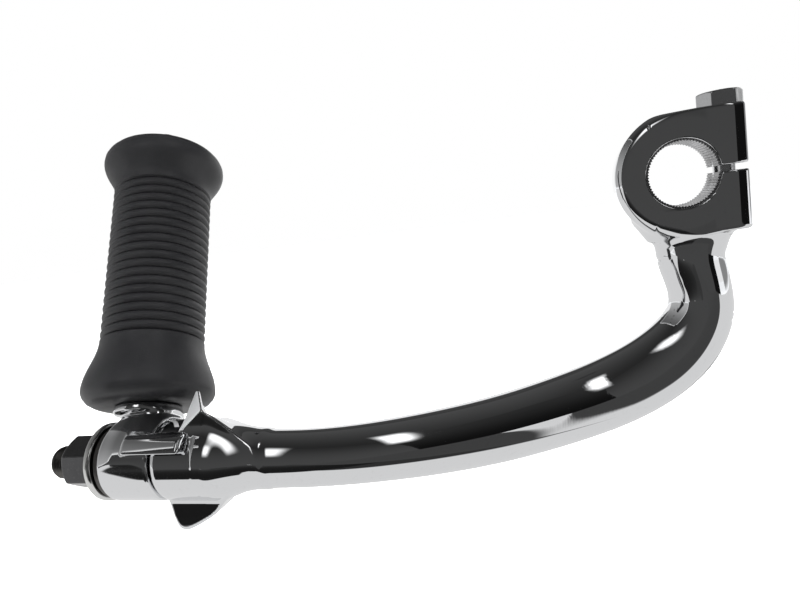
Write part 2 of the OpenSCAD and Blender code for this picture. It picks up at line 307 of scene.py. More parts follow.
class SurfaceNet:
    """Mesher that puts one vertex in each cell that a surface crosses."""

    BLOCK = 8
    BATCH = 400
    HALF_DIAGONAL = 0.87
    SLACK = 1.35
    STEP = 0.03

    def __init__(self, distance: Distance, cell: float) -> None:
        """Keeps the signed distance that is meshed and the size of a cell."""
        self.distance = distance
        self.cell = cell

    def mesh(self, low: Point, high: Point) -> Tuple[np.ndarray, np.ndarray, np.ndarray]:
        """Samples blocks near the surface and meshes them.

        Args:
            low: lowest corner of the volume.
            high: highest corner of the volume.

        Returns:
            Vertices, quads and vertex normals.
        """
        block, cell = self.BLOCK, self.cell
        origin = np.array(low, float)
        blocks = np.ceil((np.array(high, float) - origin) / (cell * block)).astype(int)
        centres = (np.indices(blocks).reshape(3, -1).T + 0.5) * block * cell + origin
        coarse = self.distance(centres).reshape(blocks)
        reach = block * cell * self.HALF_DIAGONAL * self.SLACK + cell
        values = np.sign(coarse)
        for axis in range(3):
            values = np.repeat(values, block, axis)
        values = np.pad(values.astype(np.float32), ((0, 1),) * 3, mode="edge")
        active = np.argwhere(np.abs(coarse) < reach)
        local = np.indices((block + 1,) * 3).reshape(3, -1).T
        for start in range(0, len(active), self.BATCH):
            part = active[start : start + self.BATCH, None, :]
            index = (part * block + local[None]).reshape(-1, 3)
            values[tuple(index.T)] = self.distance(index * cell + origin)
        return self._snap(*self._net(values, blocks * block, origin))

    def _net(
        self, values: np.ndarray, cells: np.ndarray, origin: np.ndarray
    ) -> Tuple[np.ndarray, np.ndarray]:
        """Turns sampled distances into vertices and quads.

        Args:
            values: distance at each corner of the grid.
            cells: number of cells along each axis.
            origin: lowest corner of the grid.

        Returns:
            Vertices and quads.
        """
        inside = values < 0
        sums: List[np.ndarray] = []
        keys: List[np.ndarray] = []
        quads: List[np.ndarray] = []
        for axis in range(3):
            b, c = (axis + 1) % 3, (axis + 2) % 3
            low, high = [slice(None)] * 3, [slice(None)] * 3
            low[axis], high[axis] = slice(0, -1), slice(1, None)
            edge = np.argwhere(inside[tuple(low)] != inside[tuple(high)])
            keep = (edge[:, [b, c]] > 0).all(1) & (edge[:, [b, c]] < cells[[b, c]]).all(1)
            edge = edge[keep]
            step = np.zeros(3, int)
            step[axis] = 1
            v0 = values[tuple(edge.T)].astype(float)
            v1 = values[tuple((edge + step).T)].astype(float)
            cross = edge.astype(float)
            cross[:, axis] += v0 / (v0 - v1)
            ring = []
            for db, dc in ((-1, -1), (0, -1), (0, 0), (-1, 0)):
                home = edge.copy()
                home[:, b] += db
                home[:, c] += dc
                ring.append(np.ravel_multi_index(tuple(home.T), tuple(cells)))
                sums.append(cross)
            keys += ring
            quad = np.stack(ring, 1)
            flip = v0 > 0
            quad[flip] = quad[flip][:, ::-1]
            quads.append(quad)
        unique, where = np.unique(np.concatenate(keys), return_inverse=True)
        total = np.zeros((len(unique), 3))
        np.add.at(total, where, np.concatenate(sums))
        count = np.bincount(where, minlength=len(unique))[:, None]
        verts = total / count * self.cell + origin
        return verts, np.searchsorted(unique, np.concatenate(quads))

    def _snap(
        self, verts: np.ndarray, faces: np.ndarray
    ) -> Tuple[np.ndarray, np.ndarray, np.ndarray]:
        """Moves the vertices onto the surface.

        Args:
            verts: vertices.
            faces: quads.

        Returns:
            Vertices, quads and vertex normals.
        """
        most = 0.5 * self.cell
        for _ in range(4):
            d, normal = self._gradient(verts)
            verts = verts - np.clip(d, -most, most)[:, None] * normal
        return verts, faces, self._gradient(verts)[1]

    def _gradient(self, p: np.ndarray) -> Tuple[np.ndarray, np.ndarray]:
        """Finds the way to the surface.

        Args:
            p: points.

        Returns:
            Length of the Newton step and unit gradient at each point.
        """
        grad = np.empty_like(p)
        for axis in range(3):
            step = np.zeros(3)
            step[axis] = self.STEP
            grad[:, axis] = self.distance(p + step) - self.distance(p - step)
        grad /= 2 * self.STEP
        size = np.maximum(np.linalg.norm(grad, axis=1), 1e-6)
        return self.distance(p) / size, grad / size[:, None]


def make_mesh(
    name: str, verts: np.ndarray, faces: np.ndarray, normals: np.ndarray | None = None
) -> bpy.types.Object:
    """Makes an object from arrays in millimetres.

    Args:
        name: object name.
        verts: vertices.
        faces: quads or triangles, as rows of indices.
        normals: vertex normals, or None for shading by angle.

    Returns:
        The linked object.
    """
    mesh = bpy.data.meshes.new(name)
    mesh.vertices.add(len(verts))
    mesh.vertices.foreach_set("co", (verts * MM).astype(np.float32).ravel())
    mesh.loops.add(faces.size)
    mesh.loops.foreach_set("vertex_index", faces.astype(np.int32).ravel())
    mesh.polygons.add(len(faces))
    starts = np.arange(0, faces.size, faces.shape[1], dtype=np.int32)
    mesh.polygons.foreach_set("loop_start", starts)
    mesh.update(calc_edges=True)
    mesh.validate()
    mesh.polygons.foreach_set("use_smooth", np.ones(len(mesh.polygons), bool))
    if normals is not None and len(mesh.vertices) == len(normals):
        mesh.normals_split_custom_set_from_vertices(normals.tolist())
    obj = bpy.data.objects.new(name, mesh)
    bpy.context.scene.collection.objects.link(obj)
    return obj


def make_solid(
    name: str, distance: Distance, low: Point, high: Point, cell: float
) -> bpy.types.Object:
    """Meshes a signed-distance solid."""
    return make_mesh(name, *SurfaceNet(distance, cell).mesh(low, high))


def lathe(
    name: str, profile: Sequence[Tuple[float, float]], frame: Matrix, segments: int, smooth: float
) -> bpy.types.Object:
    """Turns a closed profile about the local Z axis of a frame.

    Args:
        name: object name.
        profile: radius and height pairs, in order, closed by the last to the first.
        frame: places the piece, in millimetres.
        segments: steps around.
        smooth: edges sharper than this, in degrees, stay sharp.

    Returns:
        The object.
    """
    radius, height = np.array(profile, float).T
    turn = np.linspace(0, 2 * math.pi, segments, endpoint=False)[:, None]
    n = len(radius)
    rows = [radius * np.cos(turn), radius * np.sin(turn), np.broadcast_to(height, (segments, n))]
    place = np.array(frame)
    verts = np.stack(rows, -1).reshape(-1, 3) @ place[:3, :3].T + place[:3, 3]
    i, j = np.meshgrid(np.arange(segments), np.arange(n), indexing="ij")
    i2, j2 = (i + 1) % segments, (j + 1) % n
    faces = np.stack([i * n + j, i2 * n + j, i2 * n + j2, i * n + j2], -1).reshape(-1, 4)
    obj = make_mesh(name, verts, faces)
    obj.data.set_sharp_from_angle(angle=math.radians(smooth))
    return obj


# Materials


class Graph:
    """Adds nodes to a shader tree and feeds them."""

    def __init__(self, tree: bpy.types.ShaderNodeTree) -> None:
        """Keeps the tree."""
        self.tree = tree

    def feed(self, node: bpy.types.Node, inputs: Dict[Union[str, int], Feed]) -> bpy.types.Node:
        """Feeds the inputs of a node.

        Args:
            node: the node.
            inputs: socket or constant for each input, by name or number.

        Returns:
            The same node.
        """
        for key, value in inputs.items():
            if isinstance(value, bpy.types.NodeSocket):
                self.tree.links.new(value, node.inputs[key])
            else:
                node.inputs[key].default_value = value
        return node

    def add(self, kind: str, inputs: Dict[Union[str, int], Feed]) -> bpy.types.Node:
        """Adds a node and feeds it."""
        return self.feed(self.tree.nodes.new(kind), inputs)

    def group(
        self, tree: bpy.types.ShaderNodeTree, inputs: Dict[Union[str, int], Feed]
    ) -> bpy.types.Node:
        """Adds a shared group and feeds it.

        Args:
            tree: the group.
            inputs: socket or constant for each input.

        Returns:
            The group's node.
        """
        node = self.tree.nodes.new("ShaderNodeGroup")
        node.node_tree = tree
        return self.feed(node, inputs)

    def math(self, operation: str, *values: Feed) -> bpy.types.NodeSocket:
        """Adds a calculation.

        Args:
            operation: name of the operation.
            values: what it works on, in order.

        Returns:
            The result.
        """
        node = self.add("ShaderNodeMath", dict(enumerate(values)))
        node.operation = operation
        return node.outputs[0]

    def ramp(
        self,
        value: Feed,
        span: Tuple[float, float],
        to: Tuple[float, float],
        kind: Ramp = Ramp.EVEN,
    ) -> bpy.types.NodeSocket:
        """Maps one range onto another.

        Args:
            value: what is mapped.
            span: the range that it covers.
            to: the range that comes out.
            kind: how it runs between the ends.

        Returns:
            The result.
        """
        inputs = {"Value": value, "From Min": span[0], "From Max": span[1]}
        node = self.add("ShaderNodeMapRange", {**inputs, "To Min": to[0], "To Max": to[1]})
        node.interpolation_type = kind.value
        return node.outputs["Result"]

    def blend(self, factor: Feed, first: Point, second: Point) -> bpy.types.NodeSocket:
        """Mixes two colours.

        Args:
            factor: share of the second.
            first: one colour.
            second: the other.

        Returns:
            The mixed colour.
        """
        node = self.tree.nodes.new("ShaderNodeMix")
        node.data_type = "RGBA"
        self.feed(node, {"Factor": factor, "A": (*first, 1.0), "B": (*second, 1.0)})
        return node.outputs["Result"]

    def noise(self, place: Feed, scale: Feed, detail: float) -> bpy.types.Node:
        """Adds a noise texture."""
        return self.add("ShaderNodeTexNoise", {"Vector": place, "Scale": scale, "Detail": detail})

    def object_place(self) -> bpy.types.NodeSocket:
        """Gives the object's own coordinates."""
        return self.tree.nodes.new("ShaderNodeTexCoord").outputs["Object"]


def new_material(name: str) -> Tuple[bpy.types.Material, Graph, bpy.types.Node]:
    """Makes an empty material.

    Args:
        name: its name.

    Returns:
        The material, its graph and its main shader.
    """
    mat = bpy.data.materials.new(name)
    mat.use_nodes = True
    return mat, Graph(mat.node_tree), mat.node_tree.nodes["Principled BSDF"]


class NodeGroups:
    """Shared shader effects. Each is built once and gives only masks and values."""

    SPECKS = 14.0
    GROUND_ROUGH = 0.55
    GROUND_DEPTH = 0.4
    GROUND_CORNER = (9.1, 11.0)
    GROUND_REACH = (7.5, 12.0)
    GROUND_EDGES = ((6.2, 0.0, 4.8), (0.3, 10.0, 8.6))

    def __init__(self) -> None:
        """Builds the groups."""
        self.grime = self._grime()
        self.polish = self._polish()
        self.ground = self._ground()

    @staticmethod
    def _start(
        name: str, inputs: Dict[str, float], outputs: Sequence[str]
    ) -> Tuple[Graph, bpy.types.Node, bpy.types.Node]:
        """Makes an empty group.

        Args:
            name: its name.
            inputs: default of each input value.
            outputs: names of the values that it gives.

        Returns:
            Its graph, its input node and its output node.
        """
        tree = bpy.data.node_groups.new(name, "ShaderNodeTree")
        sockets = tree.interface
        for label, value in inputs.items():
            socket = sockets.new_socket(label, in_out="INPUT", socket_type="NodeSocketFloat")
            socket.default_value = value
        for label in outputs:
            sockets.new_socket(label, in_out="OUTPUT", socket_type="NodeSocketFloat")
        return Graph(tree), tree.nodes.new("NodeGroupInput"), tree.nodes.new("NodeGroupOutput")

    def _grime(self) -> bpy.types.ShaderNodeTree:
        """Cloudy mask with fine specks, for uneven polish, dust and handling.

        Returns:
            The group.
        """
        inputs = {"Scale": 60.0, "Amount": 0.5}
        graph, gin, gout = self._start("Grime", inputs, ["Cloud", "Specks"])
        place = graph.object_place()
        cloud = graph.feed(graph.noise(place, gin.outputs["Scale"], 6.0), {"Roughness": 0.62})
        finer = graph.math("MULTIPLY", gin.outputs["Scale"], self.SPECKS)
        specks = graph.noise(place, finer, 2.0).outputs["Fac"]
        strength = graph.math("MULTIPLY", cloud.outputs["Fac"], gin.outputs["Amount"])
        graph.feed(gout, {"Cloud": strength, "Specks": graph.ramp(specks, (0.6, 0.75), (0, 1))})
        return graph.tree

    def _polish(self) -> bpy.types.ShaderNodeTree:
        """Height of the long, low waves left by polishing.

        Returns:
            The group.
        """
        graph, gin, gout = self._start("Polish", {"Waves": 35.0}, ["Height"])
        wave = graph.noise(graph.object_place(), gin.outputs["Waves"], 1.0)
        graph.feed(gout, {"Height": wave.outputs["Fac"]})
        return graph.tree

    def _ground(self) -> bpy.types.ShaderNodeTree:
        """Roughness of the ground end face of the upper ear, and nothing elsewhere.

        Returns:
            The group.
        """
        graph, _, gout = self._start("Ground", {}, ["Mask"])
        place = graph.object_place()
        x, z = self.GROUND_CORNER
        corner = Vector((PIVOT.foot_x + x, PIVOT.y - PIVOT.stop_front, PIVOT.z + z))
        first, second = (Vector(edge) for edge in self.GROUND_EDGES)
        normal = first.cross(second).normalized()
        split = graph.add("ShaderNodeSeparateXYZ", {0: place})
        dot = graph.tree.nodes.new("ShaderNodeVectorMath")
        dot.operation = "DOT_PRODUCT"
        along = graph.feed(dot, {0: place, 1: normal}).outputs["Value"]
        mask: Feed = self.GROUND_ROUGH
        for test in (
            graph.math("COMPARE", along, normal.dot(corner) * MM, self.GROUND_DEPTH * MM),
            graph.math("LESS_THAN", split.outputs["X"], (corner.x + self.GROUND_REACH[0]) * MM),
            graph.math("GREATER_THAN", split.outputs["Z"], corner.z * MM),
            graph.math("LESS_THAN", split.outputs["Y"], (corner.y + self.GROUND_REACH[1]) * MM),
        ):
            mask = graph.math("MULTIPLY", test, mask)
        graph.feed(gout, {"Mask": mask})
        return graph.tree


@dataclass(frozen=True)
class Metal:
    """A bare or plated metal.

    Attributes:
        finish: which finish it is.
        color: base colour, linear.
        rough: lowest and highest roughness.
        grime_scale: size of the cloudy pattern, larger is finer.
        bump: strength of the surface unevenness.
        waves: scale of the unevenness.
        stain: share of the stain.
        dark: colour of the specks and stains.
        ground: whether the end face of the upper ear is left as ground.
    """

    finish: Finish
    color: Point
    rough: Tuple[float, float]
    grime_scale: float
    bump: float
    waves: float
    stain: float
    dark: Point = (0.3, 0.29, 0.28)
    ground: bool = False

    def build(self, groups: NodeGroups) -> bpy.types.Material:
        """Makes the material.

        Args:
            groups: shared effects.

        Returns:
            The material.
        """
        mat, graph, shader = new_material(self.finish.value)
        grime = graph.group(groups.grime, {"Scale": self.grime_scale, "Amount": 1.0})
        polish = graph.group(groups.polish, {"Waves": self.waves})
        rough = graph.ramp(grime.outputs["Cloud"], (0.35, 0.75), self.rough)
        metallic: Feed = 1.0
        if self.ground:
            mask = graph.group(groups.ground, {}).outputs["Mask"]
            rough = graph.math("MAXIMUM", rough, mask)
            metallic = graph.math("MULTIPLY_ADD", mask, -0.5, 1.0)
        share = graph.math("MULTIPLY", grime.outputs["Specks"], self.stain)
        uneven = {"Strength": self.bump, "Distance": 0.001, "Height": polish.outputs["Height"]}
        inputs = {
            "Base Color": graph.blend(share, self.color, self.dark),
            "Metallic": metallic,
            "Roughness": rough,
            "Normal": graph.add("ShaderNodeBump", uneven).outputs["Normal"],
        }
        graph.feed(shader, inputs)
        return mat


@dataclass(frozen=True)
class Rubber:
    """Moulded black rubber with a slight bloom.

    Attributes:
        finish: which finish it is.
        color: base colour, linear.
        bloom: colour where it has bloomed.
        rough: lowest and highest roughness.
    """

    finish: Finish
    color: Point
    bloom: Point
    rough: Tuple[float, float]

    def build(self, groups: NodeGroups) -> bpy.types.Material:
        """Makes the material.

        Args:
            groups: shared effects.

        Returns:
            The material.
        """
        mat, graph, shader = new_material(self.finish.value)
        cloud = graph.group(groups.grime, {"Scale": 90.0, "Amount": 1.0}).outputs["Cloud"]
        grain = graph.noise(graph.object_place(), 2600.0, 2.0).outputs["Fac"]
        uneven = {"Strength": 0.12, "Distance": 0.0003, "Height": grain}
        inputs = {
            "Base Color": graph.blend(cloud, self.color, self.bloom),
            "IOR": 1.48,
            "Roughness": graph.ramp(cloud, (0.35, 0.7), self.rough),
            "Normal": graph.add("ShaderNodeBump", uneven).outputs["Normal"],
        }
        graph.feed(shader, inputs)
        return mat


PLATE, RUST = (0.76, 0.765, 0.775), (0.04, 0.035, 0.03)
FINISHES = (
    Metal(Finish.CHROME, PLATE, (0.015, 0.05), 45.0, 0.035, 55.0, 0.05),
    Metal(Finish.CRANK, PLATE, (0.015, 0.05), 45.0, 0.035, 55.0, 0.05, ground=True),
    Metal(Finish.BOLT, (0.74, 0.745, 0.755), (0.12, 0.22), 120.0, 0.05, 300.0, 0.1),
    Metal(Finish.ZINC, (0.72, 0.72, 0.71), (0.1, 0.22), 150.0, 0.06, 260.0, 0.15),
    Metal(Finish.NUT, (0.1, 0.1, 0.103), (0.14, 0.24), 140.0, 0.06, 260.0, 0.25),
    Metal(Finish.DARK_STEEL, (0.13, 0.125, 0.12), (0.3, 0.48), 160.0, 0.15, 400.0, 0.6, RUST),
    Metal(Finish.BORE_STEEL, (0.3, 0.3, 0.305), (0.3, 0.48), 200.0, 0.08, 500.0, 0.3),
    Rubber(Finish.RUBBER, (0.008, 0.008, 0.009), (0.016, 0.016, 0.017), (0.36, 0.5)),
)
Materials = Dict[Finish, bpy.types.Material]


def dress(
    obj: bpy.types.Object, material: bpy.types.Material, body: Body, node: str = ""
) -> bpy.types.Object:
    """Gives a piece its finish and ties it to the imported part.

    Args:
        obj: the piece.
        material: its finish.
        body: the body that it rides on.
        node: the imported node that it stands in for, if any.

    Returns:
        The same piece.
    """
    obj.data.materials.append(material)
    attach(obj, body.value)
    if node:
        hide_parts(node)
    return obj


# The object


@dataclass(frozen=True)
class Clamp:
    """Split clamp with its serrated bore.

    Attributes:
        bore_r: radius over the tips of the serrations.
        half_w: half width along the shaft.
        outer_r: radius of the ring.
        half_h: half height of the squared end.
        reach: how far the squared end reaches from the bore's centre.
        side_round: rounding of the ring's rims.
        end_edge: rounding of the squared end's corners.
        bevel: length of the bevel at the squared end.
        bevel_normal: its direction along x and y.
        ring_end: where the ring gives way to the squared end.
        jaw_back: how far the squared end reaches behind the bore's centre.
        jaw_slope: how fast it falls away towards the ring.
        slot_h: width of the saw cut.
        pinch_x: place of the pinch bolt.
        pinch_r: radius of its shank.
        hole_r: radius of its clearance hole.
        hole_end: depth of its lower hole.
        seat_r: radius of the seat under its head.
        seat_depth: depth of the seat.
        teeth: number of serrations.
        tooth: their height.
    """

    bore_r: float = 9.525
    half_w: float = 9.75
    outer_r: float = 19.4
    half_h: float = 18.4
    reach: float = 18.2
    side_round: float = 3.4
    end_edge: float = 0.8
    bevel: float = 4.6
    bevel_normal: Tuple[float, float] = (0.42, 0.906)
    ring_end: float = 7.0
    jaw_back: float = 8.0
    jaw_slope: float = 0.35
    slot_h: float = 1.8
    pinch_x: float = 12.775
    pinch_r: float = 3.2
    hole_r: float = 3.5
    hole_end: float = 17.4
    seat_r: float = 7.2
    seat_depth: float = 0.5
    teeth: int = 72
    tooth: float = 0.38

    def blank(self, p: np.ndarray) -> np.ndarray:
        """Measures to the clamp without its cuts.

        Args:
            p: points.

        Returns:
            The distance.
        """
        x, y, z = p.T
        ring = rounded_box(np.hypot(x, z), y, self.outer_r, self.half_w, self.side_round)
        ring = smax(ring, x - self.ring_end, 1.0)
        nx, ny = self.bevel_normal
        bevel = nx * (x - self.reach + self.bevel) + ny * (np.abs(y) - self.half_w)
        jaws = rounded_box(x, y, self.reach, self.half_w, self.end_edge)
        jaws = smax(jaws, bevel, 1.2)
        fall = (np.abs(z) - self.half_h - self.jaw_slope * (x + 1.0)) * 0.94
        jaws = smax(smax(jaws, fall, 2.0), -x - self.jaw_back, 0.5)
        return smax(smin(ring, jaws, 1.2), np.abs(z) - self.half_h, 1.0)

    def cut(self, body: np.ndarray, p: np.ndarray) -> np.ndarray:
        """Cuts the bore, the slot and the pinch bolt's holes.

        Args:
            body: distance to the forging.
            p: points.

        Returns:
            The distance to the machined forging.
        """
        x, y, z = p.T
        body = smax(body, self.bore_r + self.tooth + 0.25 - np.hypot(x, z), 0.8)
        body = smax(body, np.minimum(self.slot_h / 2 - np.abs(z), x), 0.5)
        hole = np.hypot(x - self.pinch_x, y)
        tapped = np.minimum(self.pinch_r + 0.05 - hole, np.minimum(-z, z + self.hole_end))
        body = smax(body, np.minimum(self.hole_r - hole, z), 0.3)
        body = smax(body, tapped, 0.3)
        seat = np.minimum(self.seat_r - hole, z - (self.half_h - self.seat_depth))
        return smax(body, seat, 0.3)

    def serrations(self) -> bpy.types.Object:
        """Makes the thin toothed lining of the bore, open at the saw cut.

        Returns:
            The lining.
        """
        gap = math.asin((self.slot_h / 2) / self.bore_r)
        turn = np.linspace(gap, 2 * math.pi - gap, self.teeth * 8 + 1)
        phase = (turn * self.teeth / (2 * math.pi)) % 1.0
        inner = self.bore_r + self.tooth * (1.0 - np.abs(2 * phase - 1.0)) ** 0.9
        outer = np.full_like(inner, self.bore_r + self.tooth + 0.5)
        half, bevel = self.half_w - 0.12, 0.35
        rings = (
            (outer, -half), (inner + bevel, -half), (inner, -half + bevel),
            (inner, half - bevel), (inner + bevel, half), (outer, half),
        )
        cos, sin, n = np.cos(turn), np.sin(turn), len(turn)
        verts = [np.stack([r * cos, np.full_like(r, y), r * sin], 1) for r, y in rings]
        i = np.arange(n - 1)
        faces = []
        for k in range(len(rings)):
            a, b = k * n + i, (k + 1) % len(rings) * n + i
            faces.append(np.stack([a, b, b + 1, a + 1], 1))
        obj = make_mesh("bore_serrations", np.concatenate(verts), np.concatenate(faces))
        obj.data.set_sharp_from_angle(angle=math.radians(25))
        return obj


CLAMP = Clamp()


@dataclass
class Crank:
    """The one-piece lever: split clamp, arm, foot barrel and stop ears.

    Attributes:
        stations: x, y, z, half width and half depth of the arm.
        upper_front: front outline of the upper ear, from the foot's face and the fold axis.
        upper_back: its back outline.
        end_front: front outline of the upper ear's thick end.
        end_back: its back outline.
        lower: outline of the lower ear.
        ear_back: how far the ears reach behind the axis.
        taper_x: where the foot barrel starts to taper, from its face.
        taper_l: length of the taper.
        taper_r: how much the radius loses.
        foot_l: length of the foot barrel.
        box: corners of the volume that is meshed.
        cells: grid size, quick and full.
    """

    stations: Tuple[Tuple[float, ...], ...] = (
        (0.8, 0, -12, 14.5, 8.5),
        (1.8, 0, -18.6, 12.6, 8.5),
        (1.8, 0, -22, 10.7, 8.8),
        (1.6, 0, -27, 9.8, 9.1),
        (3.4, 0, -36, 9.3, 9.2),
        (2.8, -0.4, -45, 9.9, 9.3),
        (-3.4, -1.4, -54.2, 11, 9.6),
        (-14, -4, -61.6, 11.5, 9.6),
        (-28, -9.5, -66.5, 11.5, 9.6),
        (-44, -19, -68.7, 11, 9.4),
        (-60, -31, -69, 10.3, 9.1),
        (-76, -43, -67.9, 9.5, 8.7),
        (-92, -54.2, -66, 8.6, 8.3),
        (-106, -61.8, -64.2, 8.1, 8),
        (-119, -65.4, -62.8, 8.1, 8),
        (-134, -66, -62.2, 8.4, 8.4),
    )
    upper_front: Outline = (
        (9.2, 5), (9.2, 11), (15.3, 15.8), (16.7, 16.7),
        (18.2, 16), (24.2, 11.3), (30, 5.4), (30, 2),
    )
    upper_back: Outline = ((9.2, 5), (9.2, 8.4), (13, 9.2), (22, 7), (30, 4), (30, 2))
    end_front: Outline = ((9.1, 5), (9.1, 11), (15.3, 15.8), (16.7, 16.7), (17.8, 16), (13, 5))
    end_back: Outline = ((9.1, 5), (9.1, 16.4), (9.4, 19.6), (10.6, 19.3), (12.4, 5))
    lower: Outline = (
        (1.0, -5), (1.0, -10.8), (1.7, -15.6), (2.6, -18), (3.8, -18.9), (5.4, -19.1),
        (7, -18.7), (12, -16.3), (15.2, -14.5), (20.4, -9), (20.4, -3),
    )
    ear_back: float = 4.0
    taper_x: float = 16.5
    taper_l: float = 13.5
    taper_r: float = 5.0
    foot_l: float = 30.5
    box: Tuple[Point, Point] = ((-154, -80, -84), (22, 12, 21))
    cells: Tuple[float, float] = (0.9, 0.52)

    def __post_init__(self) -> None:
        """Prepares the arm and the ears."""
        self.arm = Sweep(self.stations)
        self.ears = (
            (self._ear(self.lower, self.lower), 5.0),
            (self._ear(self.upper_front, self.upper_back), 4.0),
            (self._ear(self.end_front, self.end_back), 6.0),
        )

    def _ear(self, front: Outline, back: Outline) -> np.ndarray:
        """Finds the planes of an ear between its front and back outlines."""
        sides = ((PIVOT.y - PIVOT.stop_front, front), (PIVOT.y + self.ear_back, back))
        return hull_planes([(PIVOT.foot_x + x, y, PIVOT.z + z) for y, row in sides for x, z in row])

    def foot(self, p: np.ndarray) -> np.ndarray:
        """Measures to the foot barrel with its taper.

        Args:
            p: points.

        Returns:
            The distance.
        """
        x = p[:, 0] - PIVOT.foot_x
        t = np.clip((x - self.taper_x) / self.taper_l, 0.0, 1.0)
        limit = PIVOT.barrel_r - self.taper_r * t * t * (3 - 2 * t)
        side = (PIVOT.polar(p)[2] - limit) * 0.93
        return smax(smax(side, -x, 2.4), x - self.foot_l, 1.0)

    def distance(self, p: np.ndarray) -> np.ndarray:
        """Measures to the finished forging.

        Args:
            p: points.

        Returns:
            The distance.
        """
        lower, upper, end = (plane_solid(p, planes, sharp) for planes, sharp in self.ears)
        foot = smin(self.foot(p), lower, 0.8)
        foot = smin(foot, smin(upper, end, 0.6), 2.4)
        body = smin(CLAMP.blank(p), self.arm.distance(p), 3.5)
        return CLAMP.cut(smin(body, foot, 4.0), p)

    def build(self, materials: Materials) -> List[bpy.types.Object]:
        """Makes and dresses the forging and the serrated bore.

        Args:
            materials: the finishes.

        Returns:
            The pieces.
        """
        cell = self.cells[1]
        forging = make_solid("crank_forging", self.distance, *self.box, cell)
        bore = CLAMP.serrations()
        return [
            dress(forging, materials[Finish.CRANK], Body.LEVER, "crank"),
            dress(bore, materials[Finish.BORE_STEEL], Body.LEVER),
        ]


